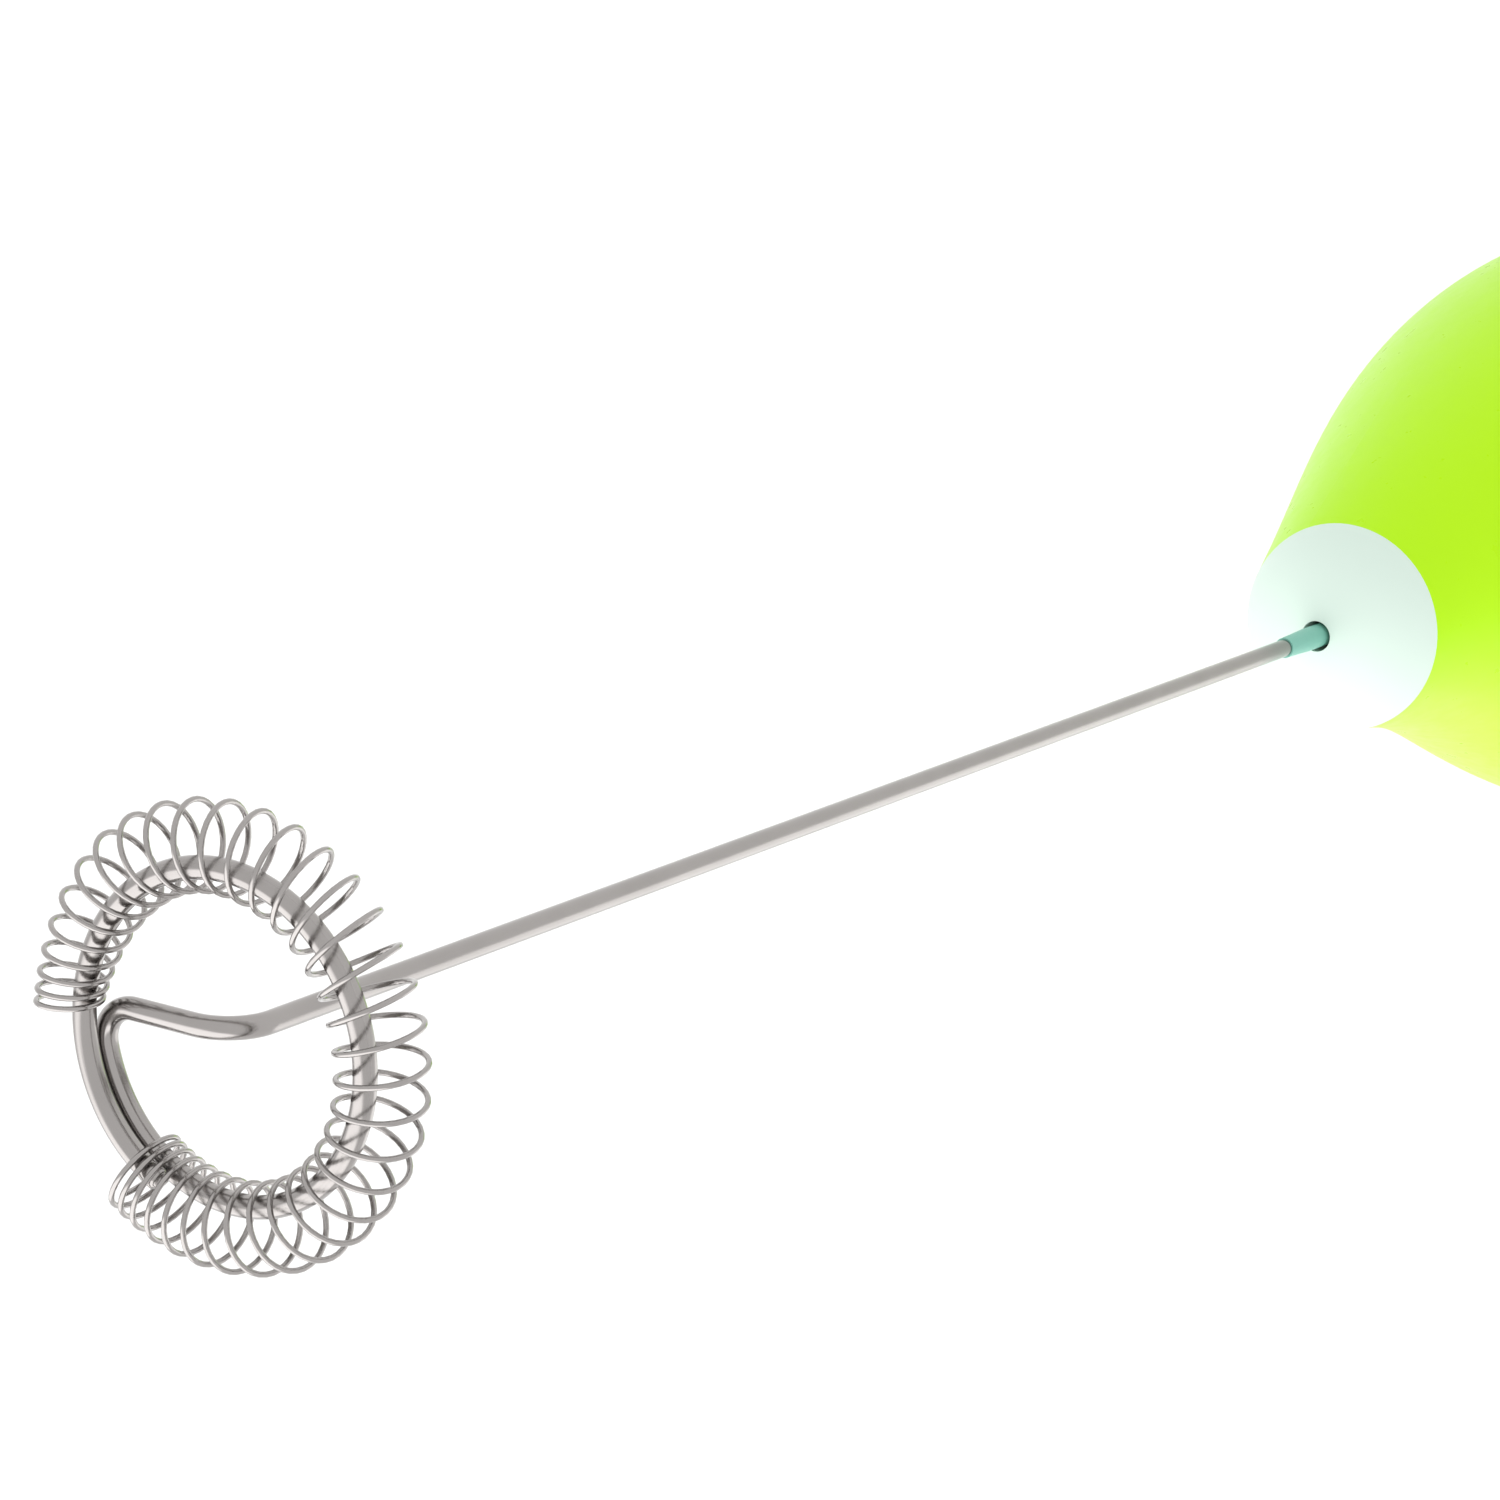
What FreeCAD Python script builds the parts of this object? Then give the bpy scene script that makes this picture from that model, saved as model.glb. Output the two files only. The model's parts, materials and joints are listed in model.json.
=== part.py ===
import FreeCAD, Part
import math
import os

# Battery milk frother: an egg-shaped handle that stands on its base, and a coil-ringed whisk on a
# long wire shaft. Millimetres. +Z runs up the shaft, and the origin is the centre of the foot.

V = FreeCAD.Vector
UP = V(0, 0, 1)

# ---- driving dimensions ----

# the handle's outline, as (radius, height) control points of two curves that meet at the widest point
NOSE_Z = 112.0
WIDEST_Z = 58.0
FRONT_OUTLINE = [(7.35, NOSE_Z), (12.3, 92.1), (23.6, 73.1), (23.6, WIDEST_Z)]
REAR_OUTLINE = [(23.6, WIDEST_Z), (23.6, 38.0), (21.8, 16.0), (19.6, 0.0)]
WALL = 2.0
# the egg leans towards +X between its two round ends: how far its second control ring is moved
LEAN = 3.0

# whisk
RING_Z = NOSE_Z + 120.0
WIRE_R = 0.6
WIRE_RING_R = 8.45
WIRE_RISE = 1.35
ARM_AZIMUTH = 65.0
ARM_BEND_R = 2.6
RIM_BEND_R = 1.8
TAIL_OVERLAP = 50.0
COIL_RING_R = 9.45
COIL_R = 2.2
COIL_WIRE_R = 0.15
COIL_TURNS = 36
COIL_START = 120.0
COIL_END = 424.0
START_CLOSING_TURNS = 8.0
END_CLOSING_TURNS = 5.6
CLOSED_PITCH = 0.27
NARROW_SPAN = 50.0
NARROW_BY = 0.6
NARROW_SHIFT = 0.25
NARROW_LIFT = 1.0

# nose cap and coupling
NOSE_RISE = 4.04
NOSE_SPHERE_R = 8.7
NOSE_SKIRT_R = 5.6
NOSE_HOLE_R = 1.08
NOSE_COLLAR_Z = 104.0
NOSE_SKIRT_Z = 105.0
BUSH_R = 3.0
BUSH_TOP_Z = 109.5
SLEEVE_R = 0.8
SLEEVE_TIP_R = 0.7
SLEEVE_TAPER = 3.2
SLEEVE_TOP_Z = NOSE_Z + 8.8
COUPLING_R = 2.4
COUPLING_Z = 98.0
COUPLING_SHOULDER_Z = 104.0
WIRE_BOTTOM_Z = 106.0
RUNNING_GAP = 0.05

# motor
SHAFT_R = 1.0
SHAFT_BOTTOM_Z = 67.0
SHAFT_TOP_Z = 103.4
MOTOR_R = 10.05
MOTOR_HALF_FLAT = 7.55
CAN_WALL = 0.6
CAP_Z = 66.5
CAN_Z = 69.5
CAN_TOP_Z = 92.0
BOSS_TOP_Z = 94.5
BOSS_R = 3.1
BEARING_R = 2.4
ROTOR_R = 6.7
ROTOR_Z = 75.5
ROTOR_LENGTH = 10.0
COMMUTATOR_R = 2.2
COMMUTATOR_Z = 70.3
COMMUTATOR_LENGTH = 3.0
TERMINAL_Y = 5.4
TERMINAL_HALF = 0.25
MAGNET_Z = 74.5
MAGNET_TOP_Z = 87.0
BRUSH_OUTER_Y = 2.5
BRUSH_POST_X = 5.6
BRUSH_END_X = 7.6

# battery holder and batteries
HOLDER_R = 16.9
HOLDER_HALF_DEPTH = 9.3
HOLDER_Z = 12.5
HOLDER_TOP_Z = 63.0
HOLDER_CEILING_Z = 61.0
BATTERY_R = 7.25
BATTERY_X = 7.75
BATTERY_BAY_R = 7.5
BATTERY_Z = 8.0
BATTERY_LENGTH = 50.5
NUB_R = 2.75
NUB_HEIGHT = 1.0
EAR_Z = 56.0
EAR_THICKNESS = 1.2
EAR_R = 21.2
CONTACT_THICKNESS = 0.3
CONTACT_R = 6.6
MOUNT_TOP_Z = 76.0
MOUNT_EAR_X = 17.0
MOUNT_EAR_TOP_Z = 65.5
MOUNT_SCREW_X = 14.2
MOUNT_SCREW_HOLE_R = 1.0

# shell screws and their bosses
SCREW_X = 8.6
SCREW_Y = 12.5
REAR_BOSS_R = 2.9
FRONT_PILLAR_R = 2.6
FRONT_PILLAR_TOP_Z = 88.0
SHELL_SCREW_R = 0.95
SHELL_SCREW_LENGTH = 13.0
SCREW_HEAD_R = 2.1
SCREW_HEAD_Z = 53.0

# battery cover, a three-lug bayonet
COVER_TOP_Z = 6.0
COVER_BOTTOM_Z = 0.5
COVER_EDGE_R = 3.0
SOCKET_R = 17.4
SOCKET_TOP_Z = 12.0
COLLAR_R = 17.2
COLLAR_BORE_R = 15.4
COLLAR_TOP_Z = 11.6
LUG_R = 18.6
LUG_Z = 8.4
LUG_HEIGHT = 1.6
LUG_SPAN = 20.0
TRACK_R = 18.9
TRACK_GAP = 0.2
TRACK_END_GAP = 2.0
COVER_TWIST = 30.0
SEAL_RING_R = 16.75
SEAL_R = 0.55
SEAL_Z = 6.9
FOOT_R = 15.6
FOOT_TOP_Z = 1.2
BRIDGE_Z = 4.6
BRIDGE_X = 12.5
BRIDGE_HALF = 3.0
PLINTH_X = 11.0

# push button and its switch, on the -Y side
BUTTON_Z = 42.0
BUTTON_R = 6.1
BUTTON_PROUD = 1.5
BUTTON_FLANGE_R = 7.6
BUTTON_FLANGE_Y = -19.2
BUTTON_FLANGE_THICKNESS = 1.2
BEZEL_BORE_R = 6.3
BEZEL_SLEEVE_R = 7.1
BEZEL_R = 8.8
BEZEL_PROUD = 0.7
STEM_R = 2.4
STEM_END_Y = -15.2
PLUNGER_R = 1.6
PLUNGER_END_Y = -12.4
SWITCH_FRONT_Y = -13.8
SWITCH_HALF = 3.1
BOARD_FRONT_Y = -10.5
BOARD_HALF_HEIGHT = 9.0
BOARD_HALF_WIDTH = 5.6
BOARD_SCREW_RISE = 7.0
BOARD_SCREW_R = 0.9
LEAD_R = 0.6
LEAD_BEND_R = 1.4
LEAD_Y = HOLDER_HALF_DEPTH + LEAD_R + 0.1
LEAD_TOP_Z = 64.5
TAB_X = 5.0
TAB_HALF = 1.2

FAR = 60.0


# ---- helpers ----

def cylinder(radius, low, high, x=0.0, y=0.0):
    return Part.makeCylinder(radius, high - low, V(x, y, low))


def tube(outer, inner, low, high, x=0.0, y=0.0):
    return cylinder(outer, low, high, x, y).cut(cylinder(inner, low - 1, high + 1, x, y))


def box(x_low, x_high, y_low, y_high, z_low, z_high):
    return Part.makeBox(x_high - x_low, y_high - y_low, z_high - z_low, V(x_low, y_low, z_low))


def rod_along_y(radius, y_low, y_high, z, x=0.0):
    return Part.makeCylinder(radius, y_high - y_low, V(x, y_low, z), V(0, 1, 0))


def sector(outer, inner, low, high, centre_angle, span):
    """A block of a ring that spans the given angle about the centre angle, in degrees."""
    ring = Part.makeCylinder(outer, high - low, V(0, 0, low), UP, span)
    hole = Part.makeCylinder(inner, high - low, V(0, 0, low), UP, span)
    piece = ring.cut(hole)
    piece.rotate(V(0, 0, 0), UP, centre_angle - span / 2)
    return piece


def polar(radius, degrees, z=0.0):
    angle = math.radians(degrees)
    return V(radius * math.cos(angle), radius * math.sin(angle), z)


def fused(pieces):
    whole = pieces[0].fuse(pieces[1:]) if len(pieces) > 1 else pieces[0]
    return whole.removeSplitter()


def crossing(a, b, c, d):
    """Where the line a-b meets the line c-d, in the plane of radius and height."""
    run = (b[0] - a[0], b[1] - a[1])
    other = (d[0] - c[0], d[1] - c[1])
    bottom = run[0] * other[1] - run[1] * other[0]
    t = ((c[0] - a[0]) * other[1] - (c[1] - a[1]) * other[0]) / bottom
    return (a[0] + t * run[0], a[1] + t * run[1])


def inset_outline(points, inset):
    """The control points of an outline curve, moved inwards: each leg of the polygon steps in by inset."""
    legs = []
    for (r0, z0), (r1, z1) in zip(points, points[1:]):
        length = math.hypot(r1 - r0, z1 - z0)
        step = ((z1 - z0) / length * inset, -(r1 - r0) / length * inset)
        legs.append(((r0 + step[0], z0 + step[1]), (r1 + step[0], z1 + step[1])))
    inner = [crossing(*legs[i], *legs[i + 1]) for i in range(len(legs) - 1)]
    return [legs[0][0]] + inner + [legs[-1][1]]


def turned_skin(points, lean):
    """A closed solid turned from an outline curve, with its second ring of control points moved by lean."""
    curve = Part.BezierCurve()
    curve.setPoles([V(r, 0, z) for r, z in points])
    turned = curve.toShape().revolve(V(0, 0, 0), UP, 360).toNurbs().Faces[0].Surface
    for u in range(1, turned.NbUPoles + 1):
        for v in range(1, turned.NbVPoles + 1):
            pole = turned.getPole(u, v)
            if abs(pole.z - points[1][1]) < 0.001:
                turned.setPole(u, v, pole + V(lean, 0, 0))
    faces = [turned.toShape()]
    for radius, height in (points[0], points[-1]):
        rim = Part.Wire(Part.makeCircle(radius, V(0, 0, height), UP))
        faces.append(Part.Face(rim))
    solid = Part.Solid(Part.makeShell(faces))
    solid.fix(0.001, 0.001, 0.001)
    return solid


def body_solid(inset):
    """The handle's whole egg, stepped in from its outer skin by inset, or out where inset is negative."""
    front = turned_skin(inset_outline(FRONT_OUTLINE, inset), LEAN)
    rear = turned_skin(inset_outline(REAR_OUTLINE, inset), 0)
    return front.fuse(rear)


def slab(low, high):
    return box(-FAR, FAR, -FAR, FAR, low, high)


def swept(edges, radius, start, direction):
    """A round wire of the given radius along tangent edges."""
    path = Part.Wire(edges)
    section = Part.Wire([Part.makeCircle(radius, start, direction)])
    return path.makePipeShell([section], True, False)


def tangent_arc(start, direction, end):
    """The arc that leaves start along direction and reaches end, with its direction there."""
    chord = end - start
    along = direction.normalize()
    side = chord - along * chord.dot(along)
    radius = chord.dot(chord) / (2 * side.Length)
    centre = start + V(side).normalize() * radius
    half = (start + end) * 0.5 - centre
    middle = centre + V(half).normalize() * radius
    leaving = V(chord).normalize() * (2 * along.dot(V(chord).normalize())) - along
    return Part.Arc(start, middle, end).toShape(), leaving


def arc_chain(points, direction):
    """Tangent arcs through the points, leaving the first one along direction."""
    edges = []
    for start, end in zip(points, points[1:]):
        edge, direction = tangent_arc(start, direction, end)
        edges.append(edge)
    return edges


def rounded_route(points, radius):
    """Straight runs through the points, with each corner turned on an arc."""
    edges = []
    start = points[0]
    for corner, after in zip(points[1:-1], points[2:]):
        towards = (corner - start).normalize()
        away = (after - corner).normalize()
        half_turn = math.acos(max(-1.0, min(1.0, towards.dot(away)))) / 2
        setback = radius * math.tan(half_turn)
        enter = corner - towards * setback
        leave = corner + away * setback
        inwards = (away - towards).normalize()
        middle = corner + inwards * (radius / math.cos(half_turn) - radius)
        edges.append(Part.makeLine(start, enter))
        edges.append(Part.Arc(enter, middle, leave).toShape())
        start = leave
    edges.append(Part.makeLine(start, points[-1]))
    return edges


def motor_outline(grow, low, high):
    round_part = cylinder(MOTOR_R + grow, low, high)
    flats = MOTOR_HALF_FLAT + grow
    return round_part.common(box(-FAR, FAR, -flats, flats, low, high))


def screw_places():
    return [(sx * SCREW_X, sy * SCREW_Y) for sx in (-1, 1) for sy in (-1, 1)]


def pan_screw(head_r, head_height, shank_r, length):
    """A screw standing head down: the head's underside is at z 0 and the shank points up."""
    head = cylinder(head_r, -head_height, 0)
    edge = [e for e in head.Edges if abs(e.BoundBox.ZMax + head_height) < 1e-6]
    head = head.makeFillet(0.4 * head_height, edge[:1])
    slot = box(-head_r, head_r, -0.25, 0.25, -head_height - 1, -head_height * 0.5)
    return head.fuse(cylinder(shank_r, 0, length)).cut(slot)


# ---- whisk ----

def whisk_wire():
    """One wire: up the axis, out to the rim, once round the ring on a gentle rise, and over its own start."""
    arm_z = RING_Z - WIRE_RISE / 2 + 0.1
    out = polar(1, ARM_AZIMUTH)
    side = polar(1, ARM_AZIMUTH + 90)
    bend_start = V(0, 0, arm_z - ARM_BEND_R)
    bend_end = out * ARM_BEND_R + UP * arm_z
    bend_turn = math.sqrt(0.5)
    bend_middle = out * (ARM_BEND_R * (1 - bend_turn)) + UP * (arm_z - ARM_BEND_R * (1 - bend_turn))
    rim_reach = math.sqrt(WIRE_RING_R ** 2 - 2 * WIRE_RING_R * RIM_BEND_R)
    rim_turn = math.asin(RIM_BEND_R / (WIRE_RING_R - RIM_BEND_R))
    rim_start = out * rim_reach + UP * arm_z
    rim_centre = rim_start + side * RIM_BEND_R
    ring_start_angle = ARM_AZIMUTH + math.degrees(rim_turn)
    rim_end = polar(WIRE_RING_R, ring_start_angle, arm_z)
    rim_half = ((rim_start + rim_end) * 0.5 - rim_centre).normalize()
    rim_middle = rim_centre + rim_half * RIM_BEND_R
    edges = [
        Part.makeLine(V(0, 0, WIRE_BOTTOM_Z), bend_start),
        Part.Arc(bend_start, bend_middle, bend_end).toShape(),
        Part.makeLine(bend_end, rim_start),
        Part.Arc(rim_start, rim_middle, rim_end).toShape(),
    ]
    ring_turn = 360.0 + TAIL_OVERLAP
    steps = 24
    ring_points = []
    for i in range(steps + 1):
        turned = ring_turn * i / steps
        z = arm_z + WIRE_RISE * turned / 360.0
        ring_points.append(polar(WIRE_RING_R, ring_start_angle + turned, z))
    edges += arc_chain(ring_points, polar(1, ring_start_angle + 90))
    return swept(edges, WIRE_R, V(0, 0, WIRE_BOTTOM_Z), UP)


def closing_turns(turns, closing):
    """How many open turns' worth of ring the given number of turns next to an end of the coil takes up."""
    part = min(turns, closing)
    return CLOSED_PITCH * part + (1 - CLOSED_PITCH) * part ** 2 / (2 * closing)


def coil_point(turn):
    """A point of the right-handed coil: even turns that close up towards both ends.

    Beside the arm the last turns also narrow, and ride up, because they hang on the ring's raised end."""
    start_share = closing_turns(START_CLOSING_TURNS, START_CLOSING_TURNS)
    end_share = closing_turns(END_CLOSING_TURNS, END_CLOSING_TURNS)
    open_turns = COIL_TURNS - START_CLOSING_TURNS - END_CLOSING_TURNS
    covered = closing_turns(turn, START_CLOSING_TURNS)
    covered += min(max(turn - START_CLOSING_TURNS, 0.0), open_turns)
    covered += end_share - closing_turns(COIL_TURNS - turn, END_CLOSING_TURNS)
    azimuth = COIL_START + (COIL_END - COIL_START) * covered / (start_share + open_turns + end_share)
    narrow = max(0.0, azimuth - COIL_END + NARROW_SPAN) / NARROW_SPAN
    reach = COIL_RING_R - NARROW_SHIFT * narrow
    radius = COIL_R - NARROW_BY * narrow
    centre_z = RING_Z + NARROW_LIFT * narrow ** 2
    angle = 2 * math.pi * turn
    return polar(reach + radius * math.cos(angle), azimuth, centre_z - radius * math.sin(angle))


def whisk_coil():
    """A fine spring threaded on the ring."""
    per_turn = 8
    count = COIL_TURNS * per_turn
    points = [coil_point(i / per_turn) for i in range(count + 1)]
    tiny = 1e-4
    direction = (coil_point(tiny) - coil_point(0)).normalize()
    edges = arc_chain(points, direction)
    return swept(edges, COIL_WIRE_R, points[0], direction)


def shaft_coupling():
    """The sleeve that grips the whisk's wire at its top and the motor's shaft at its foot."""
    body = cylinder(COUPLING_R, COUPLING_Z, COUPLING_SHOULDER_Z)
    taper_z = SLEEVE_TOP_Z - SLEEVE_TAPER
    neck = cylinder(SLEEVE_R, COUPLING_SHOULDER_Z, taper_z)
    tip = Part.makeCone(SLEEVE_R, SLEEVE_TIP_R, SLEEVE_TAPER, V(0, 0, taper_z))
    shaft_hole = cylinder(SHAFT_R, COUPLING_Z - 1, SHAFT_TOP_Z)
    wire_hole = cylinder(WIRE_R, WIRE_BOTTOM_Z, SLEEVE_TOP_Z + 1)
    return fused([body, neck, tip]).cut(shaft_hole).cut(wire_hole)


# ---- motor ----

def motor_shaft():
    return cylinder(SHAFT_R, SHAFT_BOTTOM_Z, SHAFT_TOP_Z)


def rotor_core():
    """Three poles on a hub."""
    shoe_r = 5.6
    hub_r = 2.6
    stem_half = 1.2
    top = ROTOR_Z + ROTOR_LENGTH
    pieces = [cylinder(hub_r, ROTOR_Z, top)]
    for i in range(3):
        stem = box(0, shoe_r + 0.2, -stem_half, stem_half, ROTOR_Z, top)
        stem.rotate(V(0, 0, 0), UP, 120 * i)
        pieces += [stem, sector(ROTOR_R, shoe_r, ROTOR_Z, top, 120 * i, 86)]
    return fused(pieces).cut(cylinder(SHAFT_R, ROTOR_Z - 1, top + 1))


def rotor_windings():
    """A block of copper round each pole's stem."""
    overhang = 1.3
    inner = 3.1
    outer = 4.9
    half_width = 2.6
    stem_half = 1.2
    coils = []
    for i in range(3):
        top = ROTOR_Z + ROTOR_LENGTH + overhang
        block = box(inner, outer, -half_width, half_width, ROTOR_Z - overhang, top)
        upright = [e for e in block.Edges if abs(e.Vertexes[0].X - e.Vertexes[-1].X) > outer - inner - 0.1]
        block = block.makeFillet(0.8, upright)
        stem = box(0, outer + 1, -stem_half, stem_half, ROTOR_Z, ROTOR_Z + ROTOR_LENGTH)
        coil = block.cut(stem)
        coil.rotate(V(0, 0, 0), UP, 120 * i)
        coils.append(coil)
    return Part.Compound(coils)


def commutator():
    top = COMMUTATOR_Z + COMMUTATOR_LENGTH
    ring = tube(COMMUTATOR_R, SHAFT_R, COMMUTATOR_Z, top)
    for i in range(3):
        slot = box(COMMUTATOR_R - 0.4, COMMUTATOR_R + 1, -0.15, 0.15, COMMUTATOR_Z - 1, top + 1)
        slot.rotate(V(0, 0, 0), UP, 60 + 120 * i)
        ring = ring.cut(slot)
    return ring


def motor_can():
    """The drawn steel can, with flats, vents and a boss for the front bearing."""
    outer = motor_outline(0, CAN_Z, CAN_TOP_Z).fuse(cylinder(BOSS_R, CAN_TOP_Z, BOSS_TOP_Z))
    inner = motor_outline(-CAN_WALL, CAN_Z - 1, CAN_TOP_Z - CAN_WALL)
    can = outer.cut(inner).cut(cylinder(BEARING_R, CAN_Z, BOSS_TOP_Z + 1))
    vent_half = 1.6
    for sign in (-1, 1):
        vent = box(4.2, 7.4, -vent_half, vent_half, CAN_TOP_Z - 2, CAN_TOP_Z + 1)
        vent.rotate(V(0, 0, 0), UP, 90 - 90 * sign)
        can = can.cut(vent)
    return can


def motor_magnets():
    """Two curved magnets against the can's round sides."""
    inner_r = 7.1
    span = 88.0
    outer_r = MOTOR_R - CAN_WALL
    arcs = [sector(outer_r, inner_r, MAGNET_Z, MAGNET_TOP_Z, angle, span) for angle in (0, 180)]
    return Part.Compound(arcs)


def motor_end_cap():
    """The plastic end that carries the rear bearing, the brush posts and the terminals."""
    lip_z = CAN_Z + 0.8
    post_width = 1.6
    post_top = 73.4
    plate = motor_outline(0, CAP_Z, CAN_Z).fuse(motor_outline(-CAN_WALL, CAN_Z, lip_z))
    for sign in (-1, 1):
        low, high = sorted((BRUSH_OUTER_Y * sign, (BRUSH_OUTER_Y + post_width) * sign))
        plate = plate.fuse(box(BRUSH_POST_X, BRUSH_END_X, low, high, CAN_Z, post_top))
    plate = plate.cut(cylinder(COMMUTATOR_R + 0.6, CAN_Z - 1.2, lip_z + 1))
    plate = plate.cut(cylinder(BEARING_R, CAP_Z - 1, CAN_Z))
    shaft_room = cylinder(SHAFT_R + 0.4, CAP_Z - 1, CAN_Z + 2)
    return plate.cut(motor_terminals().fuse(shaft_room))


def motor_terminals():
    """Two tabs through the end cap."""
    half_width = 1.2
    low_z = CAP_Z - 2.6
    high_z = CAN_Z + 0.8
    tabs = []
    for sign in (-1, 1):
        y = sign * TERMINAL_Y
        tabs.append(box(-half_width, half_width, y - TERMINAL_HALF, y + TERMINAL_HALF, low_z, high_z))
    return Part.Compound(tabs)


def motor_brushes():
    """Two leaf brushes that run beside the commutator, from their posts."""
    tip_x = -1.4
    low_z = 71.0
    high_z = 72.8
    inner_y = COMMUTATOR_R + RUNNING_GAP
    leaves = []
    for sign in (-1, 1):
        low, high = sorted((sign * inner_y, sign * BRUSH_OUTER_Y))
        leaves.append(box(tip_x, BRUSH_END_X, low, high, low_z, high_z))
    return Part.Compound(leaves)


def front_bearing():
    return tube(BEARING_R, SHAFT_R + RUNNING_GAP, CAN_TOP_Z - 1.4, BOSS_TOP_Z)


def rear_bearing():
    return tube(BEARING_R, SHAFT_R + RUNNING_GAP, CAP_Z, CAP_Z + 1.8)


# ---- handle ----

def front_shell():
    """The upper half of the egg, from its widest line to the nose, with four screw pillars inside."""
    outer = body_solid(0)
    skin = body_solid(WALL / 2)
    hollow = body_solid(WALL).common(slab(WIDEST_Z - 1, NOSE_COLLAR_Z))
    shell = outer.common(slab(WIDEST_Z, FAR * 3)).cut(hollow)
    lip_r = FRONT_OUTLINE[-1][0] - WALL - 0.1
    lip = tube(lip_r, lip_r - 1.4, EAR_Z + EAR_THICKNESS, WIDEST_Z)
    lip_root = tube(lip_r + 0.6, lip_r - 1.4, WIDEST_Z, WIDEST_Z + 3.0).common(skin)
    pillars = []
    for x, y in screw_places():
        pillars.append(cylinder(FRONT_PILLAR_R, EAR_Z, FRONT_PILLAR_TOP_Z, x, y).common(skin))
    whole = fused([shell, lip, lip_root] + pillars)
    for x, y in screw_places():
        whole = whole.cut(cylinder(SHELL_SCREW_R, EAR_Z - 1, EAR_Z + 12, x, y))
    return whole.cut(cylinder(NOSE_SKIRT_R, NOSE_COLLAR_Z - 1, NOSE_Z + 1))


def bayonet_track():
    """The space that the cover's lugs move in: three ways in from below, each with a run beside it."""
    low = LUG_Z - TRACK_GAP
    high = LUG_Z + LUG_HEIGHT + TRACK_GAP
    span = LUG_SPAN + 2 * TRACK_END_GAP
    pieces = []
    for i in range(3):
        rest = 120 * i
        run = sector(TRACK_R, SOCKET_R - 0.5, low, high, rest + COVER_TWIST / 2, span + COVER_TWIST)
        way_in = sector(TRACK_R, SOCKET_R - 0.5, COVER_TOP_Z - 1, high, rest + COVER_TWIST, span)
        pieces += [run, way_in]
    return fused(pieces)


def rear_shell():
    """The lower half of the egg: the grip, open below for the batteries."""
    outer = body_solid(0)
    skin = body_solid(WALL / 2)
    hollow = body_solid(WALL).common(slab(SOCKET_TOP_Z, WIDEST_Z + 1))
    shell = outer.common(slab(COVER_TOP_Z, WIDEST_Z)).cut(hollow)
    ledge_r = 20.0
    ledge_depth = 1.5
    rib_reach = 8.0
    rib_half = 0.9
    ledge = tube(FAR / 2, ledge_r, EAR_Z - ledge_depth, EAR_Z).common(skin)
    bosses = []
    for x, y in screw_places():
        rib = box(0, rib_reach, -rib_half, rib_half, SOCKET_TOP_Z, EAR_Z)
        rib.rotate(V(0, 0, 0), UP, math.degrees(math.atan2(y, x)))
        rib.translate(V(x, y, 0))
        boss = cylinder(REAR_BOSS_R, SOCKET_TOP_Z, EAR_Z, x, y)
        bosses.append(boss.fuse(rib).common(skin))
    whole = fused([shell, ledge] + bosses)
    for x, y in screw_places():
        whole = whole.cut(cylinder(SCREW_HEAD_R + 0.1, SOCKET_TOP_Z - 1, SCREW_HEAD_Z, x, y))
        whole = whole.cut(cylinder(SHELL_SCREW_R + 0.35, SCREW_HEAD_Z - 1, EAR_Z + 1, x, y))
    whole = whole.cut(cylinder(SOCKET_R, COVER_TOP_Z - 1, SOCKET_TOP_Z + 1))
    whole = whole.cut(bayonet_track())
    return whole.cut(rod_along_y(BEZEL_SLEEVE_R, -FAR, -HOLDER_HALF_DEPTH, BUTTON_Z))


def nose_cap():
    """The domed white cap, plugged into the nose, with the bush's seat inside."""
    ball = Part.makeSphere(NOSE_SPHERE_R, V(0, 0, NOSE_Z + NOSE_RISE - NOSE_SPHERE_R))
    dome = ball.common(slab(NOSE_Z, NOSE_Z + 2 * NOSE_RISE))
    cap = dome.fuse(cylinder(NOSE_SKIRT_R, NOSE_SKIRT_Z, NOSE_Z))
    cap = cap.cut(cylinder(BUSH_R, NOSE_SKIRT_Z - 1, BUSH_TOP_Z))
    return cap.cut(cylinder(NOSE_HOLE_R, NOSE_SKIRT_Z - 1, NOSE_Z + 2 * NOSE_RISE))


def nose_bush():
    return tube(BUSH_R, SLEEVE_R + RUNNING_GAP, NOSE_SKIRT_Z, BUSH_TOP_Z)


def battery_holder():
    """The cradle: two bays with open backs, a ceiling, and an ear each side that the shells clamp."""
    depth = HOLDER_HALF_DEPTH
    window_half = 4.5
    window_z = (20.0, 50.0)
    block = cylinder(HOLDER_R, HOLDER_Z, HOLDER_TOP_Z).common(slab_y(depth))
    ears = cylinder(EAR_R, EAR_Z, EAR_Z + EAR_THICKNESS).common(slab_y(depth))
    holder = block.fuse(ears)
    for sign in (-1, 1):
        holder = holder.cut(cylinder(BATTERY_BAY_R, HOLDER_Z - 1, HOLDER_CEILING_Z, sign * BATTERY_X))
        middle = sign * BATTERY_X
        holder = holder.cut(box(middle - window_half, middle + window_half, 0, depth + 1, *window_z))
    for sign in (-1, 1):
        tab_gap = tab_box(sign, 0.2, HOLDER_CEILING_Z - CONTACT_THICKNESS - 0.2)
        holder = holder.cut(tab_gap)
    for z in board_screw_heights():
        holder = holder.cut(rod_along_y(BOARD_SCREW_R, -depth - 1, -depth + 1.2, z))
    for sign in (-1, 1):
        hole_z = HOLDER_CEILING_Z + 0.2
        hole = cylinder(MOUNT_SCREW_HOLE_R, hole_z, HOLDER_TOP_Z + 1, sign * MOUNT_SCREW_X)
        holder = holder.cut(hole)
    return holder


def slab_y(half_depth):
    return box(-FAR, FAR, -half_depth, half_depth, -FAR, 4 * FAR)


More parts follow.
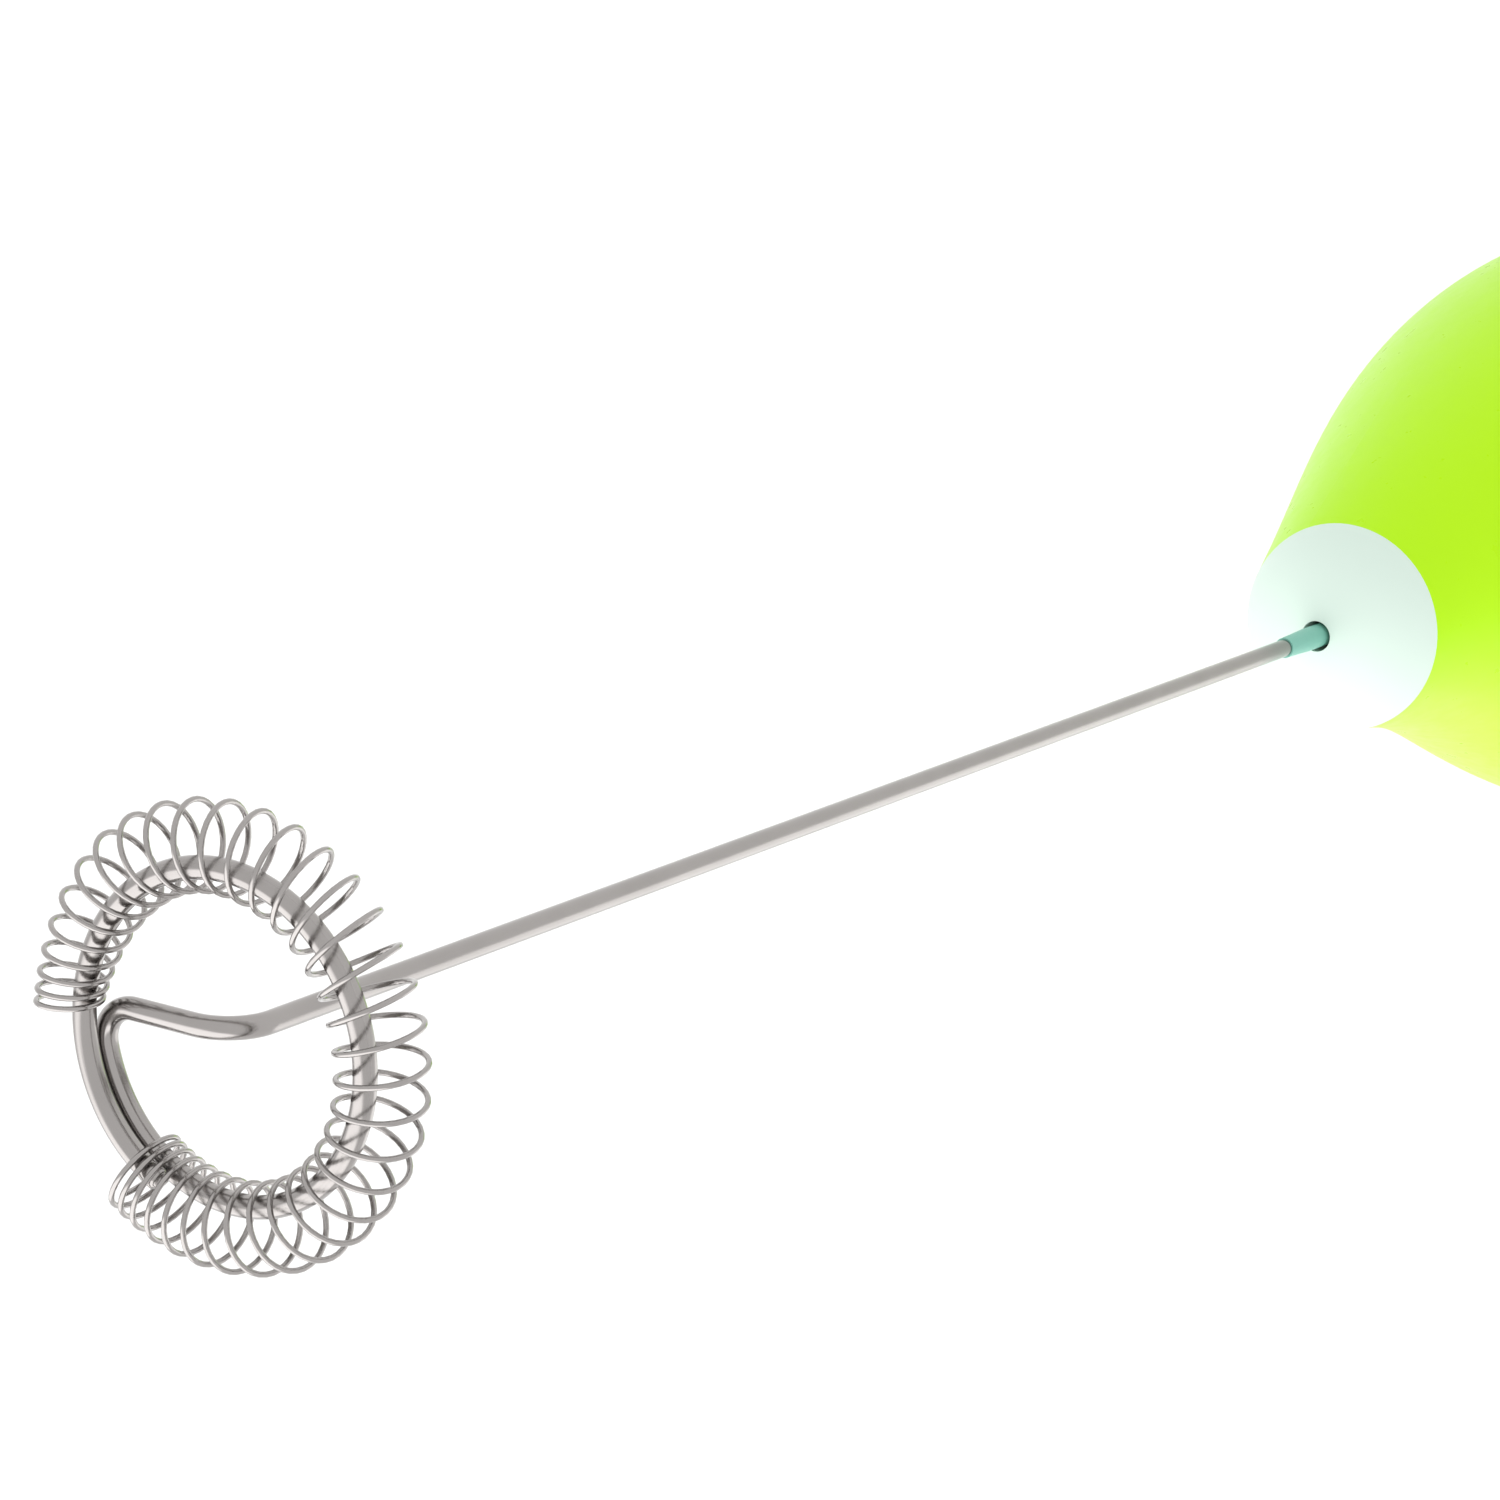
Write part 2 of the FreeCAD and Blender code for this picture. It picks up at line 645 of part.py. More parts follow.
def motor_mount():
    """The cup that holds the motor on the battery holder."""
    wall = 1.75
    ear_half = 3.0
    shelf = 1.6
    lead_way_half = 2.2
    lead_way_top = 65.6
    cup = motor_outline(wall, HOLDER_TOP_Z, MOUNT_TOP_Z)
    ears = box(-MOUNT_EAR_X, MOUNT_EAR_X, -ear_half, ear_half, HOLDER_TOP_Z, MOUNT_EAR_TOP_Z)
    cup = cup.fuse(ears)
    cup = cup.cut(motor_outline(0, CAP_Z, MOUNT_TOP_Z + 1))
    cup = cup.cut(motor_outline(-shelf, HOLDER_TOP_Z - 1, CAP_Z + 1))
    cup = cup.cut(box(-lead_way_half, lead_way_half, -FAR, FAR, HOLDER_TOP_Z - 1, lead_way_top))
    for sign in (-1, 1):
        hole = cylinder(MOUNT_SCREW_HOLE_R, HOLDER_TOP_Z - 1, MOUNT_EAR_TOP_Z + 0.5, sign * MOUNT_SCREW_X)
        cup = cup.cut(hole)
    return cup


def mount_screws():
    screws = []
    for sign in (-1, 1):
        screw = pan_screw(1.9, 1.3, MOUNT_SCREW_HOLE_R, 4.2)
        screw.rotate(V(0, 0, 0), V(1, 0, 0), 180)
        screw.translate(V(sign * MOUNT_SCREW_X, 0, MOUNT_EAR_TOP_Z))
        screws.append(screw)
    return Part.Compound(screws)


def shell_screws():
    screws = []
    for x, y in screw_places():
        screw = pan_screw(SCREW_HEAD_R, 1.6, SHELL_SCREW_R, SHELL_SCREW_LENGTH)
        screw.translate(V(x, y, SCREW_HEAD_Z))
        screws.append(screw)
    return Part.Compound(screws)


def battery(x, nub_up):
    """An AA cell."""
    can_length = BATTERY_LENGTH - NUB_HEIGHT
    can = cylinder(BATTERY_R, 0, can_length)
    rims = [e for e in can.Edges if len(e.Vertexes) == 1 or e.isClosed()]
    can = can.makeFillet(0.7, rims)
    cell = can.fuse(cylinder(NUB_R, can_length, BATTERY_LENGTH))
    if not nub_up:
        cell.rotate(V(0, 0, BATTERY_LENGTH / 2), V(1, 0, 0), 180)
    cell.translate(V(x, 0, BATTERY_Z))
    return cell


def contact_spring(x, low, high, wide_r, narrow_r, turns, wide_below=True):
    """A conical wire spring between two heights."""
    wire_r = 0.25
    per_turn = 8
    count = int(turns * per_turn)
    points = []
    for i in range(count + 1):
        share = i / count
        radius = wide_r + (narrow_r - wide_r) * (share if wide_below else 1 - share)
        z = low + wire_r + (high - low - 2 * wire_r) * share
        points.append(polar(radius, 360.0 * turns * share, z) + V(x, 0, 0))
    direction = V(0, 1, 0)
    return swept(arc_chain(points, direction), wire_r, points[0], direction)


def tab_box(sign, grow, low):
    """The room of a contact's tab: front left for sign -1, back right for sign 1."""
    x = sign * TAB_X
    y_low, y_high = sorted((sign * 4.0, sign * (LEAD_Y + LEAD_R)))
    return box(x - TAB_HALF - grow, x + TAB_HALF + grow, y_low, y_high, low, HOLDER_CEILING_Z)


def contact_plate(sign):
    """A spring-steel plate on the holder's ceiling, with a tab out of the holder."""
    low = HOLDER_CEILING_Z - CONTACT_THICKNESS
    plate = cylinder(CONTACT_R, low, HOLDER_CEILING_Z, sign * BATTERY_X)
    return plate.fuse(tab_box(sign, 0, low))


def contact_positive():
    low = BATTERY_Z + BATTERY_LENGTH
    bump = cylinder(2.4, low, HOLDER_CEILING_Z - CONTACT_THICKNESS, -BATTERY_X)
    return contact_plate(-1).fuse(bump)


def contact_negative():
    return contact_plate(1)


def holder_spring():
    low = BATTERY_Z + BATTERY_LENGTH
    high = HOLDER_CEILING_Z - CONTACT_THICKNESS - RUNNING_GAP
    return contact_spring(BATTERY_X, low, high, 2.2, 4.2, 2.5)


# ---- battery cover ----

def battery_cover():
    """The base cap: a dish with a collar, three bayonet lugs and a seat for the foot pad."""
    dish = body_solid(0).common(slab(COVER_BOTTOM_Z, COVER_TOP_Z))
    rim = [e for e in dish.Edges if abs(e.BoundBox.ZMax - COVER_BOTTOM_Z) < 1e-4]
    dish = dish.makeFillet(COVER_EDGE_R, rim)
    dish = dish.cut(cylinder(COLLAR_BORE_R, COVER_BOTTOM_Z + 2.5, COVER_TOP_Z + 1))
    collar = tube(COLLAR_R, COLLAR_BORE_R, COVER_TOP_Z - 1, COLLAR_TOP_Z)
    lugs = [sector(LUG_R, COLLAR_R - 0.5, LUG_Z, LUG_Z + LUG_HEIGHT, 120 * i, LUG_SPAN) for i in range(3)]
    plinth = box(-PLINTH_X, PLINTH_X, -BRIDGE_HALF, BRIDGE_HALF, COVER_BOTTOM_Z + 2, BRIDGE_Z)
    cover = fused([dish, collar, plinth] + lugs)
    cover = cover.cut(cylinder(FOOT_R, -1, FOOT_TOP_Z))
    return cover.cut(Part.makeTorus(SEAL_RING_R, SEAL_R, V(0, 0, SEAL_Z)))


def cover_seal():
    return Part.makeTorus(SEAL_RING_R, SEAL_R, V(0, 0, SEAL_Z))


def foot_pad():
    pad = cylinder(FOOT_R, 0, FOOT_TOP_Z)
    rim = [e for e in pad.Edges if e.BoundBox.ZMax < 1e-4]
    return pad.makeFillet(0.3, rim)


def contact_bridge():
    """The strip in the cover that joins the two cells, with a bump for the nub."""
    strip = box(-BRIDGE_X, BRIDGE_X, -BRIDGE_HALF, BRIDGE_HALF, BRIDGE_Z, BRIDGE_Z + CONTACT_THICKNESS)
    bump = cylinder(2.2, BRIDGE_Z + CONTACT_THICKNESS, BATTERY_Z - RUNNING_GAP, BATTERY_X)
    return strip.fuse(bump)


def cover_spring():
    low = BRIDGE_Z + CONTACT_THICKNESS
    return contact_spring(-BATTERY_X, low, BATTERY_Z - RUNNING_GAP, 2.75, 1.8, 3.0)


# ---- button and switch ----

def push_button():
    """The thumb button: its face follows the handle's curve and stands proud of it."""
    cap = body_solid(-BUTTON_PROUD).common(rod_along_y(BUTTON_R, -FAR, BUTTON_FLANGE_Y, BUTTON_Z))
    outer_edges = [e for e in cap.Edges if e.BoundBox.YMax < -FRONT_OUTLINE[-1][0] + 0.5]
    cap = cap.makeFillet(0.5, outer_edges)
    flange_end = BUTTON_FLANGE_Y + BUTTON_FLANGE_THICKNESS
    flange = rod_along_y(BUTTON_FLANGE_R, BUTTON_FLANGE_Y, flange_end, BUTTON_Z)
    stem = rod_along_y(STEM_R, flange_end, STEM_END_Y, BUTTON_Z)
    return fused([cap, flange, stem])


def button_bezel():
    """A grommet in the shell's wall, with a thin raised flange round the button."""
    flange = body_solid(-BEZEL_PROUD).cut(body_solid(0))
    flange = flange.common(rod_along_y(BEZEL_R, -FAR, -FRONT_OUTLINE[-1][0] / 2, BUTTON_Z))
    sleeve = body_solid(0).cut(body_solid(WALL))
    sleeve = sleeve.common(rod_along_y(BEZEL_SLEEVE_R, -FAR, -FRONT_OUTLINE[-1][0] / 2, BUTTON_Z))
    return fused([flange, sleeve]).cut(rod_along_y(BEZEL_BORE_R, -FAR, 0, BUTTON_Z))


def switch_plunger():
    return rod_along_y(PLUNGER_R, STEM_END_Y, PLUNGER_END_Y, BUTTON_Z)


def switch_body():
    half = SWITCH_HALF
    body = box(-half, half, SWITCH_FRONT_Y, BOARD_FRONT_Y, BUTTON_Z - half, BUTTON_Z + half)
    upright = [e for e in body.Edges if abs(e.Vertexes[0].Y - e.Vertexes[-1].Y) > 1]
    body = body.makeFillet(0.4, upright)
    return body.cut(rod_along_y(PLUNGER_R + 0.08, SWITCH_FRONT_Y - 1, BOARD_FRONT_Y - 0.4, BUTTON_Z))


def board_screw_heights():
    return (BUTTON_Z - BOARD_SCREW_RISE, BUTTON_Z + BOARD_SCREW_RISE)


def switch_board():
    half = BOARD_HALF_HEIGHT
    width = BOARD_HALF_WIDTH
    board = box(-width, width, BOARD_FRONT_Y, -HOLDER_HALF_DEPTH, BUTTON_Z - half, BUTTON_Z + half)
    for z in board_screw_heights():
        board = board.cut(rod_along_y(BOARD_SCREW_R, BOARD_FRONT_Y - 1, 0, z))
    return board


def board_screws():
    screws = []
    for z in board_screw_heights():
        screw = pan_screw(1.6, 1.1, BOARD_SCREW_R, 2.3)
        screw.rotate(V(0, 0, 0), V(1, 0, 0), -90)
        screw.translate(V(0, BOARD_FRONT_Y, z))
        screws.append(screw)
    return Part.Compound(screws)


# ---- inner leads ----

def lead(points):
    edges = rounded_route(points, LEAD_BEND_R)
    return swept(edges, LEAD_R, points[0], (points[1] - points[0]).normalize())


def lead_to_battery():
    """From the switch board to the positive contact's tab."""
    board_top = BUTTON_Z + BOARD_HALF_HEIGHT
    tab_z = HOLDER_CEILING_Z - CONTACT_THICKNESS
    return cylinder(LEAD_R, board_top, tab_z, -TAB_X, -LEAD_Y)


def lead_from_switch():
    """From the switch board to the motor's near terminal."""
    board_top = BUTTON_Z + BOARD_HALF_HEIGHT
    x = 0.5
    terminal_y = -TERMINAL_Y - TERMINAL_HALF
    return lead([V(x, -LEAD_Y, board_top), V(x, -LEAD_Y, LEAD_TOP_Z), V(x, terminal_y, LEAD_TOP_Z)])


def lead_to_motor():
    """From the negative contact's tab to the motor's far terminal."""
    return lead([V(TAB_X, LEAD_Y, HOLDER_CEILING_Z), V(TAB_X, LEAD_Y, LEAD_TOP_Z),
                 V(0, LEAD_Y, LEAD_TOP_Z), V(0, TERMINAL_Y + TERMINAL_HALF, LEAD_TOP_Z)])


NODES = {
    "front_shell": front_shell,
    "rear_shell": rear_shell,
    "nose_cap": nose_cap,
    "nose_bush": nose_bush,
    "button_bezel": button_bezel,
    "battery_holder": battery_holder,
    "motor_mount": motor_mount,
    "mount_screws": mount_screws,
    "shell_screws": shell_screws,
    "motor_can": motor_can,
    "motor_magnets": motor_magnets,
    "motor_end_cap": motor_end_cap,
    "motor_terminals": motor_terminals,
    "motor_brushes": motor_brushes,
    "front_bearing": front_bearing,
    "rear_bearing": rear_bearing,
    "battery_left": lambda: battery(-BATTERY_X, True),
    "battery_right": lambda: battery(BATTERY_X, False),
    "contact_positive": contact_positive,
    "contact_negative": contact_negative,
    "holder_spring": holder_spring,
    "switch_board": switch_board,
    "switch_body": switch_body,
    "board_screws": board_screws,
    "lead_to_battery": lead_to_battery,
    "lead_from_switch": lead_from_switch,
    "lead_to_motor": lead_to_motor,
    "whisk_wire": whisk_wire,
    "whisk_coil": whisk_coil,
    "shaft_coupling": shaft_coupling,
    "motor_shaft": motor_shaft,
    "rotor_core": rotor_core,
    "rotor_windings": rotor_windings,
    "commutator": commutator,
    "push_button": push_button,
    "switch_plunger": switch_plunger,
    "battery_cover": battery_cover,
    "contact_bridge": contact_bridge,
    "cover_spring": cover_spring,
    "cover_seal": cover_seal,
    "foot_pad": foot_pad,
}

os.makedirs("parts", exist_ok=True)
for name, make in NODES.items():
    shape = make()
    print(name, "solids", len(shape.Solids), "valid", shape.isValid(), "volume", round(shape.Volume, 2))
    shape.exportStep(f"parts/{name}.step")
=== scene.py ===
import json
import math

import bmesh
import bpy
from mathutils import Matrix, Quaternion, Vector


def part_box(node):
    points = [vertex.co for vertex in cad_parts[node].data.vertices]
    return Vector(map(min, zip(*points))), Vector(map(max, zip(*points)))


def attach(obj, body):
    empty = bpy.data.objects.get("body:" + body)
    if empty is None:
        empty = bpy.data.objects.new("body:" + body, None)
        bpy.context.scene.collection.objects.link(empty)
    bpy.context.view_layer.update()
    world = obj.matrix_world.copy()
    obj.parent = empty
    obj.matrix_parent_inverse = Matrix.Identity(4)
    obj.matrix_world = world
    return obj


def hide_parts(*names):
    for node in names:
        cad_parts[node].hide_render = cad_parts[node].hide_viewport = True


# A battery milk frother, standing on its base: lime handle, white nose, long wire shaft and a
# coil-ringed whisk. Everything is in metres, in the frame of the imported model.

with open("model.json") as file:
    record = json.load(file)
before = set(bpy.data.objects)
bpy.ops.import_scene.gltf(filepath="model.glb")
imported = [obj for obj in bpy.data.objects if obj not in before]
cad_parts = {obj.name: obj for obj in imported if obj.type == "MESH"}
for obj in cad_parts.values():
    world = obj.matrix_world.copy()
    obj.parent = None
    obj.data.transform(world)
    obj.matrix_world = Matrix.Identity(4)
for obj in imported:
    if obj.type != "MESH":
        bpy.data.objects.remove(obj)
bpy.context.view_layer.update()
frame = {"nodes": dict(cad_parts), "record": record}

# ---- places taken from the frame ----

MM = 0.001
wire_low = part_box("whisk_wire")[0]
coil_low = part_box("whisk_coil")[0]

# ---- the whisk's own sizes ----

WIRE_R = 0.6 * MM
WIRE_RING_R = 8.45 * MM
WIRE_RISE = 1.35 * MM
ARM_AZIMUTH = math.radians(65.0)
ARM_DROP = 0.575 * MM
ARM_BEND_R = 2.6 * MM
RIM_BEND_R = 1.8 * MM
TAIL_OVERLAP = math.radians(50.0)

COIL_RING_R = 9.45 * MM
COIL_R = 2.2 * MM
COIL_WIRE_R = 0.15 * MM
COIL_TURNS = 36
COIL_START = math.radians(120.0)
COIL_END = math.radians(424.0)
START_CLOSING_TURNS = 8.0
END_CLOSING_TURNS = 5.6
CLOSED_PITCH = 0.27
NARROW_SPAN = math.radians(50.0)
NARROW_BY = 0.6 * MM
NARROW_SHIFT = 0.25 * MM
NARROW_LIFT = 1.0 * MM
RING_Z = coil_low.z + COIL_R + COIL_WIRE_R


# ---- mesh helpers ----

def new_object(name, bm):
    mesh = bpy.data.meshes.new(name)
    bm.normal_update()
    bm.to_mesh(mesh)
    bm.free()
    mesh.polygons.foreach_set("use_smooth", [True] * len(mesh.polygons))
    obj = bpy.data.objects.new(name, mesh)
    bpy.context.scene.collection.objects.link(obj)
    return obj


def polar(radius, azimuth, z=0.0):
    return Vector((radius * math.cos(azimuth), radius * math.sin(azimuth), z))


def tube(name, points, radius, sides):
    """A round wire through the points, with softened ends. U runs round it and V along it, in metres."""
    bm = bmesh.new()
    uv = bm.loops.layers.uv.new("UVMap")
    count = len(points)
    tangents = []
    for i in range(count):
        before = points[max(i - 1, 0)]
        after = points[min(i + 1, count - 1)]
        tangents.append((after - before).normalized())
    normal = tangents[0].orthogonal().normalized()
    rings = []
    travelled = 0.0
    lengths = []
    for i in range(count):
        if i:
            travelled += (points[i] - points[i - 1]).length
            turn = tangents[i - 1].rotation_difference(tangents[i])
            normal = (turn @ normal).normalized()
        lengths.append(travelled)
        side = tangents[i].cross(normal)
        rings.append((points[i], normal.copy(), side, radius))
    cap = radius / 2
    first = rings[0]
    last = rings[-1]
    rings.insert(0, (first[0] - tangents[0] * cap, first[1], first[2], radius - cap))
    rings.append((last[0] + tangents[-1] * cap, last[1], last[2], radius - cap))
    lengths = [-cap] + lengths + [travelled + cap]
    loops = []
    for centre, across, side, size in rings:
        loop = []
        for k in range(sides):
            angle = 2 * math.pi * k / sides
            loop.append(bm.verts.new(centre + (across * math.cos(angle) + side * math.sin(angle)) * size))
        loops.append(loop)
    round_length = 2 * math.pi * radius
    for i in range(len(loops) - 1):
        for k in range(sides):
            n = (k + 1) % sides
            face = bm.faces.new((loops[i][k], loops[i][n], loops[i + 1][n], loops[i + 1][k]))
            corners = ((k, i), (k + 1, i), (k + 1, i + 1), (k, i + 1))
            for corner, (u, v) in zip(face.loops, corners):
                corner[uv].uv = (u / sides * round_length, lengths[v])
    bm.faces.new(list(reversed(loops[0])))
    bm.faces.new(loops[-1])
    return new_object(name, bm)


def arc_points(centre, start, axis, angle, steps):
    """Points along an arc about an axis through the centre, without the first one."""
    arm = start - centre
    return [centre + Quaternion(axis, angle * i / steps) @ arm for i in range(1, steps + 1)]


# ---- materials ----

def node_material(name):
    material = bpy.data.materials.new(name)
    material.use_nodes = True
    tree = material.node_tree
    return material, tree, tree.nodes["Principled BSDF"]


def add(tree, kind, **values):
    node = tree.nodes.new(kind)
    for key, value in values.items():
        if hasattr(node, key):
            setattr(node, key, value)
        else:
            node.inputs[key].default_value = value
    return node


def noise(tree, vector, scale, detail=4.0, roughness=0.5):
    node = add(tree, "ShaderNodeTexNoise", Scale=scale, Detail=detail, Roughness=roughness)
    tree.links.new(vector, node.inputs["Vector"])
    return node.outputs["Fac"]


def ramp(tree, value, low, high, low_out, high_out):
    node = add(tree, "ShaderNodeMapRange")
    tree.links.new(value, node.inputs["Value"])
    node.inputs["From Min"].default_value = low
    node.inputs["From Max"].default_value = high
    node.inputs["To Min"].default_value = low_out
    node.inputs["To Max"].default_value = high_out
    return node.outputs["Result"]


def mixed_colour(tree, factor, a, b):
    node = tree.nodes.new("ShaderNodeMix")
    node.data_type = "RGBA"
    tree.links.new(factor, node.inputs["Factor"])
    node.inputs["A"].default_value = (*a, 1)
    node.inputs["B"].default_value = (*b, 1)
    return node.outputs["Result"]


def bump(tree, shader, height, strength, distance):
    node = add(tree, "ShaderNodeBump", Strength=strength, Distance=distance)
    tree.links.new(height, node.inputs["Height"])
    tree.links.new(node.outputs["Normal"], shader.inputs["Normal"])


def object_coordinates(tree):
    return tree.nodes.new("ShaderNodeTexCoord").outputs["Object"]


def plastic(name, colour, rough, shine=0.5, mottle=0.03):
    """Moulded plastic: faint flow mottling, a soft satin variation and a very fine grain."""
    material, tree, shader = node_material(name)
    place = object_coordinates(tree)
    dark = tuple(c * (1 - mottle) for c in colour)
    flow = noise(tree, place, 90.0, 3.0)
    tree.links.new(mixed_colour(tree, flow, dark, colour), shader.inputs["Base Color"])
    fine = noise(tree, place, 700.0, 5.0, 0.6)
    tree.links.new(ramp(tree, fine, 0.3, 0.7, rough * 0.9, rough * 1.12), shader.inputs["Roughness"])
    bump(tree, shader, noise(tree, place, 4200.0, 2.0), 0.06, 0.00001)
    shader.inputs["IOR"].default_value = 1.49
    shader.inputs["Specular IOR Level"].default_value = shine
    return material


def drawn_wire(name, colour, rough):
    """Drawn wire: fine lines along its length, with dull patches."""
    material, tree, shader = node_material(name)
    uv = tree.nodes.new("ShaderNodeTexCoord").outputs["UV"]
    stretch = add(tree, "ShaderNodeMapping")
    stretch.inputs["Scale"].default_value = (9000.0, 180.0, 1.0)
    tree.links.new(uv, stretch.inputs["Vector"])
    lines = noise(tree, stretch.outputs["Vector"], 1.0, 3.0, 0.6)
    patches = noise(tree, object_coordinates(tree), 260.0, 3.0)
    dull = tuple(c * 0.82 for c in colour)
    tree.links.new(mixed_colour(tree, patches, dull, colour), shader.inputs["Base Color"])
    tree.links.new(ramp(tree, lines, 0.25, 0.75, rough * 0.7, rough * 1.4), shader.inputs["Roughness"])
    bump(tree, shader, lines, 0.25, 0.00002)
    shader.inputs["Metallic"].default_value = 1.0
    return material


def metal(name, colour, rough, scale=700.0):
    """Plated or sintered metal with a fine cloudy surface."""
    material, tree, shader = node_material(name)
    place = object_coordinates(tree)
    cloud = noise(tree, place, scale, 4.0)
    dull = tuple(c * 0.8 for c in colour)
    tree.links.new(mixed_colour(tree, cloud, dull, colour), shader.inputs["Base Color"])
    tree.links.new(ramp(tree, cloud, 0.3, 0.7, rough * 0.75, rough * 1.3), shader.inputs["Roughness"])
    bump(tree, shader, noise(tree, place, scale * 4, 2.0), 0.15, 0.00002)
    shader.inputs["Metallic"].default_value = 1.0
    return material


def rubber(name, colour):
    material, tree, shader = node_material(name)
    place = object_coordinates(tree)
    dust = noise(tree, place, 300.0, 5.0)
    pale = tuple(min(1.0, c * 1.5 + 0.02) for c in colour)
    tree.links.new(mixed_colour(tree, dust, colour, pale), shader.inputs["Base Color"])
    tree.links.new(ramp(tree, dust, 0.3, 0.7, 0.65, 0.85), shader.inputs["Roughness"])
    bump(tree, shader, noise(tree, place, 3500.0, 2.0), 0.4, 0.00004)
    return material


MATERIALS = {
    "shell_green": plastic("shell_green", (0.43, 0.80, 0.004), 0.3, 0.12),
    "nose_white": plastic("nose_white", (0.61, 0.73, 0.655), 0.35, 0.2),
    "button_white": plastic("button_white", (0.66, 0.76, 0.70), 0.3),
    "sleeve_teal": plastic("sleeve_teal", (0.18, 0.46, 0.37), 0.4),
    "wire_steel": drawn_wire("wire_steel", (0.37, 0.35, 0.34), 0.17),
    "coil_steel": drawn_wire("coil_steel", (0.38, 0.36, 0.35), 0.15),
    "inner_grey": plastic("inner_grey", (0.30, 0.32, 0.32), 0.5),
    "motor_steel": metal("motor_steel", (0.62, 0.62, 0.62), 0.3),
    "magnet_dark": metal("magnet_dark", (0.09, 0.09, 0.10), 0.6, 2000.0),
    "motor_nylon": plastic("motor_nylon", (0.82, 0.82, 0.76), 0.45),
    "copper": metal("copper", (0.72, 0.34, 0.16), 0.35, 1500.0),
    "bronze": metal("bronze", (0.60, 0.45, 0.22), 0.45, 2500.0),
    "battery_can": plastic("battery_can", (0.05, 0.05, 0.06), 0.35),
    "contact_metal": metal("contact_metal", (0.75, 0.74, 0.70), 0.22),
    "screw_steel": metal("screw_steel", (0.55, 0.55, 0.56), 0.32),
    "board_green": plastic("board_green", (0.03, 0.22, 0.08), 0.4),
    "switch_black": plastic("switch_black", (0.03, 0.03, 0.03), 0.4),
    "lead_red": rubber("lead_red", (0.55, 0.02, 0.02)),
    "lead_black": rubber("lead_black", (0.02, 0.02, 0.02)),
    "seal_rubber": rubber("seal_rubber", (0.04, 0.04, 0.04)),
    "foot_rubber": rubber("foot_rubber", (0.12, 0.13, 0.12)),
}


def finish_of(obj, slot_name):
    obj.data.materials.clear()
    obj.data.materials.append(MATERIALS[slot_name])


for row in frame["record"]["subparts"]:
    finish_of(frame["nodes"][row["node"]], row["material_slot"])


# ---- whisk ----

def whisk_wire_points():
    """The wire's line: up the axis, out to the rim, once round on a gentle rise, and over its start."""
    arm_z = RING_Z - ARM_DROP
    out = polar(1, ARM_AZIMUTH)
    side = polar(1, ARM_AZIMUTH + math.pi / 2)
    up = Vector((0, 0, 1))
    foot = Vector((0, 0, wire_low.z))
    bend_start = Vector((0, 0, arm_z - ARM_BEND_R))
    shaft_steps = 60
    points = [foot.lerp(bend_start, i / shaft_steps) for i in range(shaft_steps + 1)]
    points += arc_points(bend_start + out * ARM_BEND_R, bend_start, side, math.pi / 2, 16)
    rim_reach = math.sqrt(WIRE_RING_R ** 2 - 2 * WIRE_RING_R * RIM_BEND_R)
    rim_start = out * rim_reach + up * arm_z
    arm_steps = 8
    arm_start = points[-1]
    points += [arm_start.lerp(rim_start, i / arm_steps) for i in range(1, arm_steps + 1)]
    rim_turn = math.asin(RIM_BEND_R / (WIRE_RING_R - RIM_BEND_R))
    points += arc_points(rim_start + side * RIM_BEND_R, rim_start, up, math.pi / 2 + rim_turn, 20)
    ring_start = ARM_AZIMUTH + rim_turn
    ring_turn = 2 * math.pi + TAIL_OVERLAP
    ring_steps = 200
    for i in range(1, ring_steps + 1):
        turned = ring_turn * i / ring_steps
        points.append(polar(WIRE_RING_R, ring_start + turned, arm_z + WIRE_RISE * turned / (2 * math.pi)))
    return points


def closing_turns(turns, closing):
    """How many open turns' worth of ring the given number of turns next to an end of the coil takes up."""
    part = min(turns, closing)
    return CLOSED_PITCH * part + (1 - CLOSED_PITCH) * part ** 2 / (2 * closing)


def coil_points():
    """The spring's line, right-handed: even turns that close up at both ends and narrow beside the arm."""
    start_share = closing_turns(START_CLOSING_TURNS, START_CLOSING_TURNS)
    end_share = closing_turns(END_CLOSING_TURNS, END_CLOSING_TURNS)
    open_turns = COIL_TURNS - START_CLOSING_TURNS - END_CLOSING_TURNS
    per_turn = 32
    points = []
    for i in range(COIL_TURNS * per_turn + 1):
        turn = i / per_turn
        covered = closing_turns(turn, START_CLOSING_TURNS)
        covered += min(max(turn - START_CLOSING_TURNS, 0.0), open_turns)
        covered += end_share - closing_turns(COIL_TURNS - turn, END_CLOSING_TURNS)
        share = covered / (start_share + open_turns + end_share)
        azimuth = COIL_START + (COIL_END - COIL_START) * share
        narrow = max(0.0, azimuth - COIL_END + NARROW_SPAN) / NARROW_SPAN
        reach = COIL_RING_R - NARROW_SHIFT * narrow
        radius = COIL_R - NARROW_BY * narrow
        centre_z = RING_Z + NARROW_LIFT * narrow ** 2
        angle = 2 * math.pi * turn
        points.append(polar(reach + radius * math.cos(angle), azimuth, centre_z - radius * math.sin(angle)))
    return points


def make_whisk():
    wire = tube("whisk_wire_drawn", whisk_wire_points(), WIRE_R, 28)
    finish_of(wire, "wire_steel")
    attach(wire, "whisk")
    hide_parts("whisk_wire")
    coil = tube("whisk_coil_wound", coil_points(), COIL_WIRE_R, 12)
    finish_of(coil, "coil_steel")
    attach(coil, "whisk")
    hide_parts("whisk_coil")


make_whisk()


# ---- floor, light and camera ----

